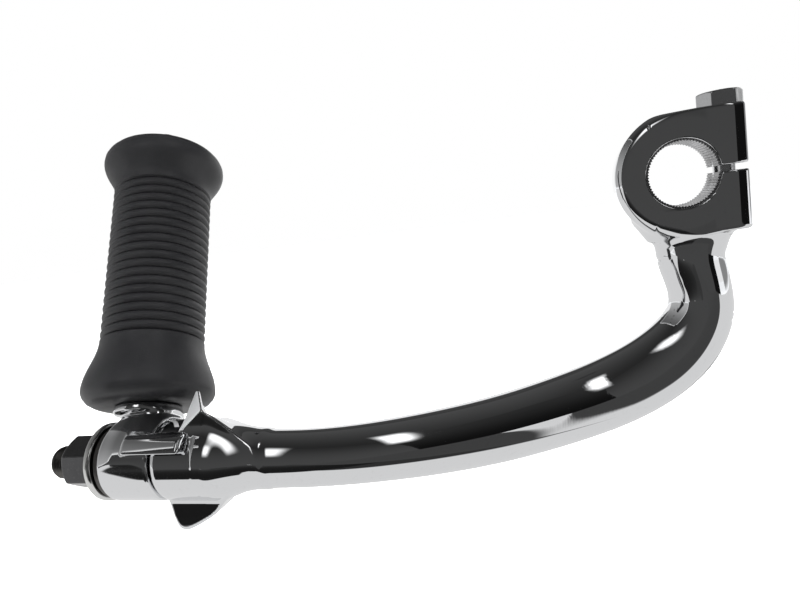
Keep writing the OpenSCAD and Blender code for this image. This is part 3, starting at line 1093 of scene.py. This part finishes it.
@dataclass
class Pedal:
    """The folding pedal's forging, with its barrel, tongue, neck, collar and spindle.

    Attributes:
        lean: how far the neck leans back, in degrees.
        side_lean: how far the spindle leans out, in degrees.
        root_x: where the spindle's line crosses the fold axis.
        bore_r: radius of the stud's bore.
        neck_from: height at which the neck starts to narrow.
        neck_l: height over which it does.
        neck_top: height of its top, inside the collar.
        neck_half: half width and half depth of the neck at its foot.
        neck_loss: what each loses towards the top.
        neck_shift: where its middle lies along X, and how far that moves towards the top.
        neck_corner: corner radius of the neck.
        collar_r: radius of the collar.
        collar_half: half its thickness.
        collar_up: height of the collar's middle.
        spindle_r: radius of the spindle.
        spindle_from: height of its lower end, inside the neck.
        tip: height of the spindle's domed end.
        dome_l: height of the dome.
        tongue_r: how far the tongue reaches from the axis.
        tongue_top: height of the tongue's top.
        tongue_over: how far it reaches over the foot.
        tongue_back: how far it reaches over the pedal's barrel.
        box: corners of the volume that is meshed.
        cells: grid size, quick and full.
    """

    lean: float = 27.5
    side_lean: float = 4.2
    root_x: float = -160.78
    bore_r: float = 6.06
    neck_from: float = 2.0
    neck_l: float = 11.3
    neck_top: float = 14.0
    neck_half: Tuple[float, float] = (8.2, 9.6)
    neck_loss: Tuple[float, float] = (0.7, 2.1)
    neck_shift: Tuple[float, float] = (0.66, 0.7)
    neck_corner: float = 5.5
    collar_r: float = 10.0
    collar_half: float = 1.2
    collar_up: float = 14.55
    spindle_r: float = 6.0
    spindle_from: float = 8.0
    tip: float = 113.0
    dome_l: float = 4.6
    tongue_r: float = 14.2
    tongue_top: float = 10.8
    tongue_over: float = 11.6
    tongue_back: float = 7.8
    box: Tuple[Point, Point] = ((-176, -82, -76), (-137, -4, 40))
    cells: Tuple[float, float] = (0.7, 0.42)

    def __post_init__(self) -> None:
        """Works out the directions of the neck and the spindle."""
        lean, side = math.radians(self.lean), math.radians(self.side_lean)
        self.neck_axis = np.array([0.0, math.sin(lean), math.cos(lean)])
        self.neck_side = np.array([0.0, math.cos(lean), -math.sin(lean)])
        self.axis = np.array([-math.sin(side), 0.0, 0.0]) + math.cos(side) * self.neck_axis
        self.root = np.array([self.root_x, PIVOT.y, PIVOT.z])

    def local(self) -> Matrix:
        """Gives the frame whose Z axis is the spindle.

        Returns:
            The frame, in millimetres.
        """
        z, y = Vector(self.axis), Vector(self.neck_side)
        m = Matrix((y.cross(z), y, z)).transposed().to_4x4()
        m.translation = Vector(self.root)
        return m

    def neck(self, rel: np.ndarray) -> np.ndarray:
        """Measures to the neck, which narrows upwards.

        Args:
            rel: points from the root.

        Returns:
            The distance.
        """
        up, across, corner = rel @ self.neck_axis, rel @ self.neck_side, self.neck_corner
        t = np.clip((up - self.neck_from) / self.neck_l, 0.0, 1.0)
        width, depth = (h - loss * t for h, loss in zip(self.neck_half, self.neck_loss))
        shift, more = self.neck_shift
        qx = np.abs(rel[:, 0] - (shift + more * t)) - (width - corner)
        qy = np.abs(across) - (depth - corner)
        neck = np.hypot(np.maximum(qx, 0), np.maximum(qy, 0))
        neck = neck + np.minimum(np.maximum(qx, qy), 0) - corner
        return smax(smax(neck, up - self.neck_top, 1.0), -up, 1.0)

    def tongue(self, p: np.ndarray) -> np.ndarray:
        """Measures to the stop tongue in front of and above the axis.

        Args:
            p: points.

        Returns:
            The distance.
        """
        x = p[:, 0] - PIVOT.foot_x
        y, z, rho = PIVOT.polar(p)
        inner = PIVOT.stop_front + PIVOT.gap
        body = smax(y + inner, inner - z, 0.8)
        body = smax(body, rho - self.tongue_r, 1.0)
        body = smax(body, z - self.tongue_top - 0.1 * (y + 8.0), 1.4)
        body = smax(body, x - self.tongue_over, 1.0)
        return smax(body, -self.tongue_back - x, 1.5)

    def distance(self, p: np.ndarray) -> np.ndarray:
        """Measures to the pedal forging.

        Args:
            p: points.

        Returns:
            The distance.
        """
        x, rho = p[:, 0], PIVOT.polar(p)[2]
        inner = PIVOT.foot_x - PIVOT.gap
        middle, half = (PIVOT.pedal_x + inner) / 2, (inner - PIVOT.pedal_x) / 2
        body = rounded_box(x - middle, rho, half, PIVOT.barrel_r, 1.1)
        rel = p - self.root
        body = smin(body, self.neck(rel), 4.0)
        along = rel @ self.axis
        off = np.linalg.norm(rel - along[:, None] * self.axis, axis=1)
        collar = rounded_box(off, along - self.collar_up, self.collar_r, self.collar_half, 0.8)
        body = smin(body, collar, 1.6)
        dome = np.maximum(along - (self.tip - self.dome_l), 0.0) * 1.3
        spindle = smax(np.hypot(off, dome) - self.spindle_r, self.spindle_from - along, 0.5)
        body = smin(body, spindle, 0.4)
        body = smin(body, self.tongue(p), 1.4)
        body = smax(body, np.minimum(PIVOT.barrel_r + PIVOT.gap - rho, x - inner), 0.4)
        return smax(body, self.bore_r - rho, 0.3)

    def build(self, materials: Materials) -> List[bpy.types.Object]:
        """Makes and dresses the forging.

        Args:
            materials: the finishes.

        Returns:
            The piece.
        """
        cell = self.cells[1]
        forging = make_solid("pedal_forging", self.distance, *self.box, cell)
        return [dress(forging, materials[Finish.CHROME], Body.PEDAL, "pedal")]


@dataclass(frozen=True)
class Sleeve:
    """Ribbed rubber with a flare at both ends, turned about the spindle.

    Attributes:
        low: height of its lower end.
        high: height of its upper end.
        bore_r: radius of its bore.
        rib_r: radius over the ribs.
        flare: radius of the flares.
        ribs: number of ribs.
        pitch: height of one rib.
        groove: depth between ribs.
        shift: how far the ribs stand above the middle.
        lower_lip: outline of the lower flare, inwards and up from its corner.
        upper_lip: outline of the upper flare, inwards and down from its corner.
    """

    low: float = 15.8
    high: float = 104.6
    bore_r: float = 6.05
    rib_r: float = 15.6
    flare: float = 19.5
    ribs: int = 18
    pitch: float = 2.86
    groove: float = 0.9
    shift: float = 2.0
    lower_lip: Outline = ((5, 0), (3.2, 0.3), (1.7, 1.1), (0.6, 2.4), (0.1, 3.6))
    upper_lip: Outline = ((0.15, 4.6), (0.7, 3.4), (1.7, 2.2), (3.2, 1.2), (5.2, 0.5), (9, 0))

    def _waist(self, start: float, length: float, up: bool) -> List[Tuple[float, float]]:
        """Draws the soft curve between a flare and the ribs.

        Args:
            start: height of its lower end.
            length: its height.
            up: whether it widens upwards.

        Returns:
            Radius and height pairs.
        """
        rows = []
        for k in range(17):
            t = k / 16
            swell = (self.flare - self.rib_r) * (1 - math.cos(math.pi * t)) / 2
            rows.append((self.rib_r + swell if up else self.flare - swell, start + length * t))
        return rows

    def profile(self) -> List[Tuple[float, float]]:
        """Draws the sleeve's section.

        Returns:
            Radius and height pairs, from the lower end of the bore round to the upper end.
        """
        low, high, flare = self.low, self.high, self.flare
        middle = (low + high) / 2 + self.shift
        first = middle - self.ribs * self.pitch / 2
        last = middle + self.ribs * self.pitch / 2
        rows = [(self.bore_r, low)]
        for inset, up in self.lower_lip:
            rows.append((flare - inset, low + up))
        rows += self._waist(low + 4.2, first - low - 4.8, False)
        for i in range(self.ribs):
            for s in np.linspace(0, 1, 9)[:-1]:
                bump = abs(math.sin(math.pi * s)) ** 0.55
                rows.append((self.rib_r - self.groove * (1 - bump), first + (i + s) * self.pitch))
        rows.append((self.rib_r - self.groove, last))
        rows += self._waist(last + 0.6, high - 6 - last - 0.6, True)
        for inset, down in self.upper_lip:
            rows.append((flare - inset, high - down))
        return rows + [(self.bore_r, high)]

    def build(self, materials: Materials, frame: Matrix) -> List[bpy.types.Object]:
        """Makes and dresses the sleeve in the spindle's frame."""
        rubber = lathe("rubber_sleeve", self.profile(), frame, 160, 50.0)
        return [dress(rubber, materials[Finish.RUBBER], Body.PEDAL, "pedal_rubber")]


@dataclass(frozen=True)
class Fasteners:
    """Bolt, stud, disc spring, washer and lock nut.

    Attributes:
        nut_x: outer face of the nut.
        nut_af: its size across the flats.
        nut_h: its height.
        nut_turn: how far it is turned, in degrees.
        nut_cones: radius and height of a point on the chamfer at each end.
        thread_r: radius of the stud's thread.
        pitch: pitch of the thread.
        thread_depth: depth of the thread.
        thread_from: where the thread starts, from the stud's outer end.
        dome_l: height of the dome on that end.
        dome_r: its radius.
        end_l: length of the stud that the finer mesh shows.
        stud_x: outer end of the stud.
        shank: profile of the rest of the stud.
        head_af: size of the pinch bolt's head across the flats.
        head_h: its height.
        head_cone: radius and height of a point on its chamfer.
        bolt_l: length of the pinch bolt's shank.
        bolt_middle: how far its middle lies below the head.
        disc_x: outer rim of the disc spring.
        disc: its profile.
        washer_x: outer face of the washer.
        washer_r: its radius.
        washer_t: its thickness.
        hole_r: radius of its hole.
        nut_box: corners of the volume that is meshed for the nut.
        stud_box: the same for the stud's end.
        bolt_box: the same for the pinch bolt.
        cells: grid size, quick and full.
    """

    nut_x: float = -185.0
    nut_af: float = 14.3
    nut_h: float = 11.9
    nut_turn: float = 57.0
    nut_cones: Outline = ((8.15, 0.8), (8.25, 11.6))
    thread_r: float = 4.98
    pitch: float = 1.2
    thread_depth: float = 0.55
    thread_from: float = 0.7
    dome_l: float = 1.7
    dome_r: float = 4.7
    end_l: float = 12.3
    stud_x: float = -192.3
    shank: Outline = (
        (0, 12.2), (4.98, 12.2), (4.98, 23.7), (5.6, 23.7), (6, 24.1), (6, 41.2),
        (4.98, 41.2), (4.98, 53), (4, 54), (0, 54),
    )
    head_af: float = 11.4
    head_h: float = 5.0
    head_cone: Tuple[float, float] = (6.1, 4.8)
    bolt_l: float = 35.2
    bolt_middle: float = 17.0
    disc_x: float = -170.8
    disc: Outline = (
        (5.3, 0), (10.6, 0.72), (10.75, 0.85), (10.75, 2.0), (10.6, 2.1), (5.3, 1.3),
    )
    washer_x: float = -173.0
    washer_r: float = 11.5
    washer_t: float = 2.2
    hole_r: float = 5.3
    nut_box: Tuple[Point, Point] = ((-186, -76, -72), (-172, -56, -52))
    stud_box: Tuple[Point, Point] = ((-194, -72.5, -69), (-179, -59.5, -56))
    bolt_box: Tuple[Point, Point] = ((4, -9, -19), (22, 9, 25))
    cells: Tuple[float, float] = (0.5, 0.26)

    @staticmethod
    def along_x(x: float) -> Matrix:
        """Gives the frame whose Z axis runs along +X on the fold axis.

        Args:
            x: where it starts.

        Returns:
            The frame, in millimetres.
        """
        m = Matrix(((0, 0, 1), (0, 1, 0), (-1, 0, 0))).to_4x4()
        m.translation = Vector((x, PIVOT.y, PIVOT.z))
        return m

    @staticmethod
    def hexagon(u: np.ndarray, v: np.ndarray, af: float, turn: float, k: float) -> np.ndarray:
        """Measures to a hexagon.

        Args:
            u: first coordinate.
            v: second coordinate.
            af: size across the flats.
            turn: angle of its first corner, in degrees.
            k: rounding of its corners.

        Returns:
            The distance.
        """
        d = np.full_like(u, -1e3)
        for i in range(3):
            a = math.radians(turn + 30 + 60 * i)
            d = smax(d, np.abs(u * math.cos(a) + v * math.sin(a)) - af / 2, k)
        return d

    @staticmethod
    def cone(
        rho: np.ndarray, up: np.ndarray, point: Tuple[float, float], normal: Tuple[float, float]
    ) -> np.ndarray:
        """Measures to a cone through a point, both in radius and height."""
        return (rho - point[0]) * normal[0] + (up - point[1]) * normal[1]

    def nut(self, p: np.ndarray) -> np.ndarray:
        """Measures to the lock nut, chamfered and rounded at its outer end.

        Args:
            p: points.

        Returns:
            The distance.
        """
        x = p[:, 0] - self.nut_x
        y, z, rho = PIVOT.polar(p)
        body = self.hexagon(-z, y, self.nut_af, self.nut_turn, 0.35)
        body = smax(body, np.abs(x - self.nut_h / 2) - self.nut_h / 2, 0.3)
        outer, inner = self.nut_cones
        body = smax(body, self.cone(rho, x, outer, (0.6, -0.8)), 0.4)
        body = smax(body, self.cone(rho, x, inner, (0.5, 0.86)), 0.3)
        return smax(body, self.thread_r + 0.04 - rho, 0.3)

    def stud(self, p: np.ndarray) -> np.ndarray:
        """Measures to the threaded end of the stud, outside the nut.

        Args:
            p: points.

        Returns:
            The distance.
        """
        x = p[:, 0] - self.stud_x
        y, z, rho = PIVOT.polar(p)
        phase = (p[:, 0] / self.pitch + np.arctan2(z, y) / (2 * math.pi)) % 1.0
        fade = np.clip(x - self.thread_from, 0.0, 1.0)
        depth = self.thread_depth * (1 - np.abs(2 * phase - 1)) * fade
        side = (rho - (self.thread_r - depth)) * 0.8
        dome = np.hypot(np.maximum(self.dome_l - x, 0) * 2.2, rho) - self.dome_r
        dome = np.where(x < self.dome_l, dome, -1.0)
        return smax(smax(side, dome, 0.3), x - self.end_l, 0.3)

    def bolt(self, p: np.ndarray) -> np.ndarray:
        """Measures to the pinch bolt's head and shank.

        Args:
            p: points.

        Returns:
            The distance.
        """
        x, y = p[:, 0] - CLAMP.pinch_x, p[:, 1]
        z = p[:, 2] - (CLAMP.half_h - CLAMP.seat_depth)
        rho = np.hypot(x, y)
        head = self.hexagon(x, y, self.head_af, 0.0, 0.3)
        head = smax(head, np.abs(z - self.head_h / 2) - self.head_h / 2, 0.3)
        head = smax(head, self.cone(rho, z, self.head_cone, (0.5, 0.86)), 0.3)
        along = np.abs(z + self.bolt_middle) - self.bolt_l / 2
        return np.minimum(head, smax(rho - CLAMP.pinch_r, along, 0.5))

    def washer(self) -> List[Tuple[float, float]]:
        """Draws the washer's section, with its rounded rim.

        Returns:
            Radius and height pairs.
        """
        edge = 0.45
        rim = []
        for a in np.linspace(0, math.pi / 2, 5):
            rim.append((self.washer_r - edge + edge * math.sin(a), edge - edge * math.cos(a)))
        rim += [(r, self.washer_t - h) for r, h in reversed(rim)]
        return [(self.hole_r, 0)] + rim + [(self.hole_r, self.washer_t)]

    def build(self, materials: Materials) -> List[bpy.types.Object]:
        """Makes and dresses the small pieces.

        Args:
            materials: the finishes.

        Returns:
            The pieces.
        """
        lever, steel = Body.LEVER, materials[Finish.DARK_STEEL]
        cell = self.cells[1]
        nut = make_solid("nut_body", self.nut, *self.nut_box, cell)
        end = make_solid("stud_end", self.stud, *self.stud_box, cell * 0.62)
        bolt = make_solid("pinch_bolt_body", self.bolt, *self.bolt_box, cell)
        shank = lathe("stud_shank", self.shank, self.along_x(self.stud_x), 96, 30.0)
        spring = lathe("spring_disc", self.disc, self.along_x(self.disc_x), 128, 30.0)
        plain = lathe("plain_washer", self.washer(), self.along_x(self.washer_x), 160, 30.0)
        return [
            dress(nut, materials[Finish.NUT], lever, "lock_nut"),
            dress(end, steel, lever),
            dress(bolt, materials[Finish.BOLT], lever, "pinch_bolt"),
            dress(shank, steel, lever, "pivot_stud"),
            dress(spring, steel, lever, "disc_spring"),
            dress(plain, materials[Finish.ZINC], lever, "washer"),
        ]


# The studio


@dataclass(frozen=True)
class Card:
    """A flat card that the chrome reflects.

    Attributes:
        name: object name.
        centre: middle, in metres.
        half_u: half of one side.
        half_v: half of the other side.
        low: brightness where the second side starts.
        high: brightness where it ends.
        fade: share of the card over which its edges fade out.
    """

    name: str
    centre: Point
    half_u: Point
    half_v: Point
    low: float
    high: float
    fade: float = 0.0

    def material(self) -> bpy.types.Material:
        """Makes a glow that changes along the card and fades out at its edges.

        Returns:
            The material.
        """
        mat, graph, shader = new_material(self.name + "_glow")
        nodes, links = graph.tree.nodes, graph.tree.links
        nodes.remove(shader)
        out = nodes["Material Output"]
        place = nodes.new("ShaderNodeTexCoord").outputs["UV"]
        split = graph.add("ShaderNodeSeparateXYZ", {0: place})
        glow = graph.ramp(split.outputs["Y"], (0.0, 1.0), (self.low, self.high), Ramp.SMOOTH)
        surface = graph.add("ShaderNodeEmission", {"Strength": glow}).outputs[0]
        if self.fade:
            mask: Feed = 1.0
            for side in ("X", "Y"):
                for span in ((0.0, self.fade / 2), (1.0, 1.0 - self.fade / 2)):
                    edge = graph.ramp(split.outputs[side], span, (0.0, 1.0), Ramp.SMOOTH)
                    mask = graph.math("MULTIPLY", edge, mask)
            clear = nodes.new("ShaderNodeBsdfTransparent").outputs[0]
            mix = graph.add("ShaderNodeMixShader", {0: mask, 1: clear, 2: surface})
            surface = mix.outputs[0]
        links.new(surface, out.inputs["Surface"])
        return mat

    def build(self) -> None:
        """Makes the card, which only mirrors see."""
        c, u, v = Vector(self.centre), Vector(self.half_u), Vector(self.half_v)
        mesh = bpy.data.meshes.new(self.name)
        mesh.from_pydata([c - u - v, c + u - v, c + u + v, c - u + v], [], [(0, 1, 2, 3)])
        uv = mesh.uv_layers.new(name="card")
        for corner, place in enumerate(((0, 0), (1, 0), (1, 1), (0, 1))):
            uv.data[corner].uv = place
        mesh.materials.append(self.material())
        obj = bpy.data.objects.new(self.name, mesh)
        bpy.context.scene.collection.objects.link(obj)
        obj.visible_diffuse = False
        obj.visible_shadow = False
        obj.visible_camera = False


@dataclass(frozen=True)
class Lamp:
    """A soft square lamp.

    Attributes:
        name: object name.
        place: where it stands.
        target: what it points at.
        size: its side.
        power: its power in watts.
    """

    name: str
    place: Point
    target: Point
    size: float
    power: float

    def build(self) -> None:
        """Makes the lamp, out of sight of the camera and of mirrors."""
        data = bpy.data.lights.new(self.name, "AREA")
        data.shape = "SQUARE"
        data.size = self.size
        data.energy = self.power
        lamp = bpy.data.objects.new(self.name, data)
        lamp.location = self.place
        aim = Vector(self.target) - Vector(self.place)
        lamp.rotation_euler = aim.to_track_quat("-Z", "Y").to_euler()
        lamp.visible_camera = False
        lamp.visible_glossy = False
        bpy.context.scene.collection.objects.link(lamp)


@dataclass(frozen=True)
class Studio:
    """Camera, lamps, floor and the cards that the chrome reflects.

    Attributes:
        right: the camera's right.
        up: its up.
        forward: its line of sight.
        place: where it stands, in metres.
        lens: its focal length in millimetres.
        floor_z: height of the floor.
        floor_half: half its side.
        cards: the cards.
        lamps: the lamps.
    """

    right: Point = (0.95373, 0.26873, -0.13482)
    up: Point = (0.09285, 0.16324, 0.98221)
    forward: Point = (-0.28596, 0.94928, -0.13074)
    place: Point = (-0.029936, -0.217157, -0.000884)
    lens: float = 28.54
    floor_z: float = -0.16
    floor_half: float = 6.0
    cards: Tuple[Card, ...] = (
        Card("front_wall", (0, -1.3, 0.745), (1.5, 0, 0), (0, 0, 0.905), 0.07, 0.03),
        Card("left_wall", (-1.5, 0.05, 0.745), (0, 1.35, 0), (0, 0, 0.905), 0.5, 0.12, 0.08),
        Card("right_front", (1.5, -0.96, 0.745), (0, 0.34, 0), (0, 0, 0.905), 0.006, 0.03),
        Card("right_middle", (1.5, -0.28, 0.825), (0, 0.34, 0), (0, 0, 0.825), 0.006, 0.03),
        Card("right_back", (1.49, 0.72, 0.745), (0, 0.72, 0), (0, 0, 0.905), 0.3, 0.05, 0.08),
        Card("back_wall", (0, 1.4, 1.15), (1.5, 0, 0), (0, 0, 0.5), 0.07, 0.05),
        Card("ceiling", (0, 0.05, 1.64), (1.5, 0, 0), (0, 1.35, 0), 0.025, 0.08),
        Card(
            "floor_right", (0.765, -1.135, -0.155), (0.735, -0.415, 0), (0, -0.68, 0),
            0.06, 0.07, 0.02,
        ),
        Card(
            "floor_slant", (-0.015, -0.77, -0.156), (-0.065, -0.09, 0), (0, -0.65, 0),
            0.035, 0.05, 0.03,
        ),
        Card(
            "floor_left", (-0.515, -0.775, -0.1555), (0.29, 0, 0), (-0.525, -0.575, 0),
            0.012, 0.07, 0.02,
        ),
        Card("floor_middle", (-0.25, -1.0, -0.157), (0.35, 0, 0), (0, -0.4, 0), 0.04, 0.07),
        Card("floor_near", (0, 0, -0.158), (1.5, 0, 0), (0, 1.4, 0), 0.8, 0.8),
        Card("floor_shade", (0.03, 0.22, -0.1575), (0.1, 0, 0), (0, 0.12, 0), 0.12, 0.3, 0.5),
        Card(
            "lamp_right", (0.565, -0.432, 0.744), (0.061, 0.063, -0.018), (-0.209, 0.284, 0.28),
            2.0, 2.0, 0.7,
        ),
        Card(
            "lamp_left", (-0.259, -0.881, 0.68), (0.22, -0.035, 0), (0.042, 0.264, 0.297),
            1.6, 1.6, 0.8,
        ),
    )
    lamps: Tuple[Lamp, ...] = (
        Lamp("key", (0.5, -0.7, 0.9), (-0.08, -0.03, -0.03), 0.7, 14.0),
        Lamp("fill", (-0.9, -0.5, 0.4), (-0.12, -0.03, -0.03), 0.6, 7.0),
        Lamp("top", (0.0, 0.2, 1.1), (-0.08, -0.03, -0.03), 0.8, 14.0),
    )

    def camera(self) -> None:
        """Sets the camera where the photograph was taken."""
        data = bpy.data.cameras.new("camera")
        data.lens = self.lens
        data.sensor_width = 36.0
        data.clip_start = 0.005
        cam = bpy.data.objects.new("camera", data)
        back = [-c for c in self.forward]
        rows = [list(row) for row in zip(self.right, self.up, back, self.place)]
        cam.matrix_world = Matrix(rows + [[0, 0, 0, 1]])
        bpy.context.scene.collection.objects.link(cam)
        bpy.context.scene.camera = cam

    def world(self) -> None:
        """Makes white surroundings for the camera and mirrors, and softer light for the rest."""
        world = bpy.data.worlds.new("studio")
        bpy.context.scene.world = world
        world.use_nodes = True
        graph = Graph(world.node_tree)
        graph.tree.nodes.clear()
        path = graph.tree.nodes.new("ShaderNodeLightPath").outputs
        direct = graph.math("MAXIMUM", path["Is Camera Ray"], path["Is Glossy Ray"])
        direct = graph.math("MAXIMUM", direct, path["Is Transmission Ray"])
        soft = graph.add("ShaderNodeBackground", {"Color": (0.75, 0.77, 0.8, 1), "Strength": 0.7})
        white = graph.add("ShaderNodeBackground", {"Color": (1, 1, 1, 1), "Strength": 1.0})
        both = {0: direct, 1: soft.outputs[0], 2: white.outputs[0]}
        mix = graph.add("ShaderNodeMixShader", both)
        graph.add("ShaderNodeOutputWorld", {"Surface": mix.outputs[0]})

    def floor(self) -> None:
        """Makes the pale floor below the lever."""
        mesh = bpy.data.meshes.new("floor")
        s, z = self.floor_half, self.floor_z
        mesh.from_pydata([(-s, -s, z), (s, -s, z), (s, s, z), (-s, s, z)], [], [(0, 1, 2, 3)])
        obj = bpy.data.objects.new("floor", mesh)
        bpy.context.scene.collection.objects.link(obj)
        mat, graph, shader = new_material("pale_floor")
        inputs = {
            "Base Color": (0.9, 0.9, 0.9, 1),
            "Roughness": 0.7,
            "Specular IOR Level": 0.1,
            "Emission Color": (1, 1, 1, 1),
            "Emission Strength": 0.6,
        }
        graph.feed(shader, inputs)
        mesh.materials.append(mat)

    def build(self) -> None:
        """Sets up everything around the part."""
        self.camera()
        self.world()
        self.floor()
        for piece in self.cards + self.lamps:
            piece.build()
        bpy.context.scene.view_settings.view_transform = "Standard"


def main() -> None:
    """Builds the scene and reports its pieces."""
    logging.basicConfig(level=logging.INFO, format="%(name)s: %(message)s")
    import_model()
    groups = NodeGroups()
    materials = {look.finish: look.build(groups) for look in FINISHES}
    pedal = Pedal()
    pieces = Crank().build(materials) + pedal.build(materials)
    pieces += Sleeve().build(materials, pedal.local())
    pieces += Fasteners().build(materials)
    for piece in pieces:
        faces, finish = len(piece.data.polygons), piece.active_material.name
        LOG.info("%s: %d faces, %s", piece.name, faces, finish)
    Studio().build()


if __name__ == "__main__":
    main()
